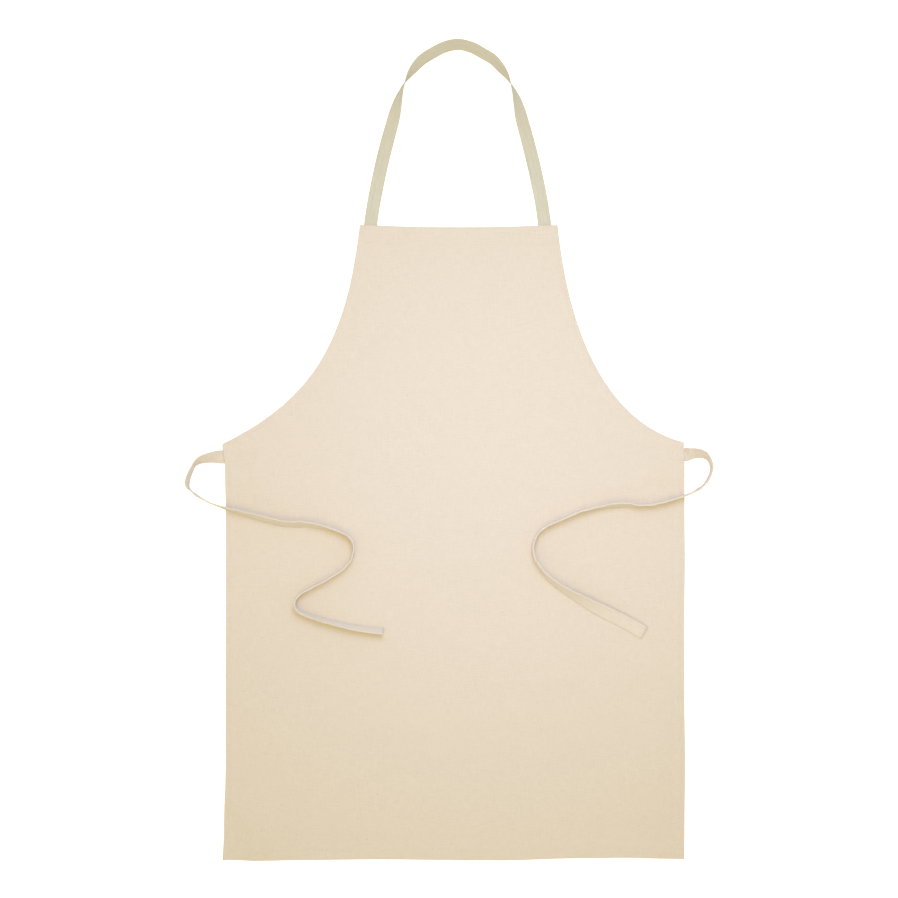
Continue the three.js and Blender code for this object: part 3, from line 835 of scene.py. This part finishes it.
def tie_stitches(tape):
    seam = TIE_WIDTH / 2 - SEAM_INSET
    thick = TIE_THICKNESS / 2 - SEAM_SINK
    rows = [stitch_places(tape.line(seam, way * thick), way * tape.face) for way in (1, -1)]
    return stitch_mesh(rows)


# Materials

def node(tree, kind, inputs, **settings):
    """A shader node with its settings, and each input set to a value or joined to another node's output."""
    made = tree.nodes.new("ShaderNode" + kind)
    for name, value in settings.items():
        setattr(made, name, value)
    for socket, value in inputs.items():
        if isinstance(value, bpy.types.NodeSocket):
            tree.links.new(value, made.inputs[socket])
        else:
            made.inputs[socket].default_value = value
    return made


def calc(tree, operation, *values):
    """A sum, product or other step of arithmetic in a shader."""
    return node(tree, "Math", dict(enumerate(values)), operation=operation).outputs[0]


def scaled(tree, vector, scale):
    return node(tree, "VectorMath", {0: vector, 1: scale}, operation="MULTIPLY").outputs[0]


def noise(tree, vector, scale, detail=2.0):
    return node(tree, "TexNoise", {"Vector": vector, "Scale": scale, "Detail": detail}).outputs["Fac"]


def varied(tree, base, *parts):
    """A base plus some values that vary about a half, each with its strength."""
    total = base
    for value, strength in parts:
        total = calc(tree, "MULTIPLY_ADD", calc(tree, "SUBTRACT", value, 0.5), strength, total)
    return total


def weave(tree, place, pitch):
    """Height of a plain weave, the slubs of the thread on top, and those of all warp and all weft threads."""
    threads = scaled(tree, place, (1 / pitch, 1 / pitch, 1 / pitch))
    parts = node(tree, "SeparateXYZ", {0: threads}).outputs
    warp = calc(tree, "SINE", calc(tree, "MULTIPLY", parts[0], math.pi))
    weft = calc(tree, "SINE", calc(tree, "MULTIPLY", parts[1], math.pi))
    warp_on_top = calc(tree, "GREATER_THAN", calc(tree, "MULTIPLY", warp, weft), 0.0)
    warp_slub = noise(tree, scaled(tree, place, (1.0, SLUB_STRETCH, 1.0)), 1 / pitch)
    weft_slub = noise(tree, scaled(tree, place, (SLUB_STRETCH, 1.0, 1.0)), 1 / pitch)
    warp_height, weft_height = calc(tree, "ABSOLUTE", warp), calc(tree, "ABSOLUTE", weft)
    height = node(tree, "Mix", {0: warp_on_top, 2: weft_height, 3: warp_height})
    slub = node(tree, "Mix", {0: warp_on_top, 2: weft_slub, 3: warp_slub})
    return height.outputs[0], slub.outputs[0], warp_slub, weft_slub


def streaks(tree, place):
    """A value that differs in long streaks along a tape."""
    return noise(tree, scaled(tree, place, (STREAK_STRETCH, 1.0, 1.0)), STREAKS)


def new_material(name):
    material = bpy.data.materials.new(name)
    material.use_nodes = True
    material.node_tree.nodes.clear()
    return material, material.node_tree


def finish_material(tree, colour, height, bump_depth, roughness, fuzz):
    """A matte surface with its relief and fuzz."""
    bump = node(tree, "Bump", {"Height": height, "Distance": bump_depth, "Strength": BUMP_STRENGTH})
    inputs = {"Base Color": colour, "Roughness": roughness, "Normal": bump.outputs[0]}
    shader = node(tree, "BsdfPrincipled", inputs)
    shader.inputs["Sheen Weight"].default_value = fuzz
    shader.inputs["Sheen Roughness"].default_value = FUZZ_ROUGHNESS
    shader.inputs["Sheen Tint"].default_value = (*FUZZ_COLOUR, 1.0)
    shader.inputs["Specular IOR Level"].default_value = GLOSS
    node(tree, "OutputMaterial", {"Surface": shader.outputs[0]})


def cotton_material(name, colour, fuzz, tape=False):
    """Plain-woven unbleached cotton with slubs, small seed flecks and painted shade in the gaps of the weave.
    """
    material, tree = new_material(name)
    if tape:
        place = node(tree, "UVMap", {}, uv_map="tape").outputs[0]
    else:
        place = node(tree, "TexCoord", {}).outputs["Object"]
    height, slub, warp_slub, weft_slub = weave(tree, place, CLOTH_PITCH)
    mottle = noise(tree, place, CLOTH_MOTTLE, 3.0)
    patch = noise(tree, place, CLOTH_PATCH)
    # the weave's height darkens the gaps between threads: painted shade
    value = varied(
        tree, 1.0,
        (slub, CLOTH_TONE["slub"]), (warp_slub, CLOTH_TONE["warp"]), (weft_slub, CLOTH_TONE["weft"]),
        (mottle, CLOTH_TONE["mottle"]), (patch, CLOTH_TONE["patch"]), (height, CLOTH_TONE["height"]),
    )
    if tape:
        value = varied(tree, value, (streaks(tree, place), TIE_STREAK_TONE))
    rgb = node(tree, "HueSaturation", {"Color": (*colour, 1.0), "Value": value}).outputs[0]
    seeds = node(tree, "TexVoronoi", {"Vector": place, "Scale": FLECK_CELLS, "Randomness": 1.0})
    chance = node(tree, "SeparateColor", {0: seeds.outputs["Color"]}).outputs
    rare = calc(tree, "GREATER_THAN", chance[0], FLECK_BARE)
    size = calc(tree, "MULTIPLY_ADD", chance[1], FLECK_RANGE, FLECK_LEAST)
    near = calc(tree, "LESS_THAN", seeds.outputs["Distance"], size)
    fleck = calc(tree, "MULTIPLY", calc(tree, "MULTIPLY", near, rare), FLECK_DARKNESS)
    mixed = node(tree, "Mix", {0: fleck, 6: rgb, 7: (*SEED, 1.0)}, data_type="RGBA").outputs[2]
    finish_material(tree, mixed, varied(tree, height, (slub, SLUB_BUMP)), CLOTH_BUMP, CLOTH_ROUGHNESS, fuzz)
    return material


def olive_tape_material(name, colour):
    """Woven tape: lengthwise ribs crossed by fine weft, a little uneven in tone, with painted shade between
    the ribs and between the threads.
    """
    material, tree = new_material(name)
    place = node(tree, "UVMap", {}, uv_map="tape").outputs[0]
    height, slub, warp_slub, weft_slub = weave(tree, place, TAPE_PITCH)
    across = node(tree, "SeparateXYZ", {0: place}).outputs[1]
    rib = calc(tree, "COSINE", calc(tree, "MULTIPLY", across, 2 * math.pi * RIBS / STRAP_WIDTH))
    mottle = noise(tree, place, TAPE_MOTTLE, 3.0)
    # the weave's height darkens the gaps between threads: painted shade
    value = varied(
        tree, 1.0,
        (slub, TAPE_TONE["slub"]), (weft_slub, TAPE_TONE["weft"]), (warp_slub, TAPE_TONE["warp"]),
        (mottle, TAPE_TONE["mottle"]), (height, TAPE_TONE["height"]),
        (streaks(tree, place), TAPE_TONE["streak"]),
    )
    # painted shade: lighter on the ribs' crests, darker in the valleys between them
    toned = calc(tree, "MULTIPLY_ADD", rib, RIB_SHADE, value)
    rgb = node(tree, "HueSaturation", {"Color": (*colour, 1.0), "Value": toned}).outputs[0]
    finish_material(tree, rgb, varied(tree, height, (slub, SLUB_BUMP)), TAPE_BUMP, TAPE_ROUGHNESS, STRAP_FUZZ)
    return material


def thread_material(name, colour):
    """Sewing thread, a little uneven in tone."""
    material, tree = new_material(name)
    place = node(tree, "TexCoord", {}).outputs["Object"]
    tone = noise(tree, place, THREAD_MOTTLE, 1.0)
    value = varied(tree, 1.0, (tone, THREAD_TONE))
    rgb = node(tree, "HueSaturation", {"Color": (*colour, 1.0), "Value": value}).outputs[0]
    finish_material(tree, rgb, tone, THREAD_BUMP, THREAD_ROUGHNESS, CLOTH_FUZZ)
    return material


def floor_material():
    """Plain pale floor, which looks white and throws back only the light that falls on it."""
    material, tree = new_material("floor")
    plain = node(tree, "BsdfDiffuse", {"Color": (*FLOOR_COLOUR, 1.0)})
    glow = node(tree, "Emission", {"Color": (*FLOOR_GLOW, 1.0), "Strength": 1.0})
    white = node(tree, "AddShader", {0: plain.outputs[0], 1: glow.outputs[0]})
    seen = node(tree, "LightPath", {}).outputs["Is Camera Ray"]
    mixed = node(tree, "MixShader", {0: seen, 1: plain.outputs[0], 2: white.outputs[0]})
    node(tree, "OutputMaterial", {"Surface": mixed.outputs[0]})
    return material


# Camera, floor and light

def add_camera():
    data = bpy.data.cameras.new("camera")
    data.sensor_width = SENSOR_WIDTH
    data.lens = SENSOR_WIDTH * CAMERA_HEIGHT / PICTURE_FIELD
    camera = bpy.data.objects.new("camera", data)
    camera.location = (*CAMERA_SPOT, CAMERA_HEIGHT)
    bpy.context.scene.collection.objects.link(camera)
    bpy.context.scene.camera = camera


def add_floor():
    mesh = bpy.data.meshes.new("floor")
    half = FLOOR_SIZE / 2
    signs = ((-1, -1), (1, -1), (1, 1), (-1, 1))
    mesh.from_pydata([(x * half, y * half, -FLOOR_DROP) for x, y in signs], [], [(0, 1, 2, 3)])
    mesh.materials.append(floor_material())
    floor = bpy.data.objects.new("floor", mesh)
    bpy.context.scene.collection.objects.link(floor)


def add_light(name, kind, place, aim):
    data = bpy.data.lights.new(name, kind)
    light = bpy.data.objects.new(name, data)
    light.location = place
    light.rotation_euler = (Vector(aim) - Vector(place)).to_track_quat("-Z", "Y").to_euler()
    light.visible_camera = False
    bpy.context.scene.collection.objects.link(light)
    return data


def add_lamp():
    lamp = add_light("lamp", "AREA", LAMP_PLACE, LAMP_AIM)
    lamp.shape = "DISK"
    lamp.size = LAMP_SIZE
    lamp.spread = math.radians(LAMP_SPREAD)
    lamp.color = LAMP_COLOUR
    lamp.energy = LAMP_POWER


def add_overhead_light():
    brightest = max(OVERHEAD_LIGHT)
    overhead = add_light("overhead", "SUN", OVERHEAD_WAY, (0.0, 0.0, 0.0))
    overhead.angle = math.radians(OVERHEAD_SOFTNESS)
    overhead.color = [part / brightest for part in OVERHEAD_LIGHT]
    overhead.energy = brightest * math.pi / Vector(OVERHEAD_WAY).normalized().z


def add_room_light():
    world = bpy.data.worlds.new("room")
    world.use_nodes = True
    tree = world.node_tree
    tree.nodes.clear()
    light = node(tree, "Background", {"Color": (*ROOM_LIGHT, 1.0), "Strength": 1.0})
    white = node(tree, "Background", {"Color": (1.0, 1.0, 1.0, 1.0), "Strength": 1.0})
    seen = node(tree, "LightPath", {}).outputs["Is Camera Ray"]
    mixed = node(tree, "MixShader", {0: seen, 1: light.outputs[0], 2: white.outputs[0]})
    node(tree, "OutputWorld", {"Surface": mixed.outputs[0]})
    bpy.context.scene.world = world


add_camera()
add_floor()
add_lamp()
add_overhead_light()
add_room_light()
bpy.context.scene.view_settings.view_transform = "Standard"

# Ties

tie_cotton = cotton_material("tie_cotton", TIE_COTTON, TIE_FUZZ, tape=True)
thread = thread_material("thread", SHADED_THREAD)


def add_tie(name, route):
    tape = Tape(route, TIE_WIDTH, TIE_THICKNESS, TIE_UNEVENNESS)
    tie = add_tape(name, tape, tie_section(), tie_cotton, "tie_cotton")
    stitches = add_piece(name + "_stitches", *tie_stitches(tape), thread, "tie_cotton")
    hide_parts("waist_" + name)


add_tie("tie_left", WAIST_TIE_LEFT)
add_tie("tie_right", WAIST_TIE_RIGHT)

# Neck loop

olive_tape = olive_tape_material("olive_tape", OLIVE_TAPE)
strap_tape = Tape(NECK_STRAP, STRAP_WIDTH, STRAP_THICKNESS)
strap = add_tape("neck_loop", strap_tape, strap_section(), olive_tape, "olive_tape")
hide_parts("neck_strap")

# Panel

natural_cotton = cotton_material("natural_cotton", NATURAL_COTTON, CLOTH_FUZZ)
panel = add_piece("panel", *panel_mesh(), natural_cotton, "natural_cotton")
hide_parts("body_panel")
hem_stitches = add_piece("panel_stitches", *panel_stitches(), thread, "natural_cotton")
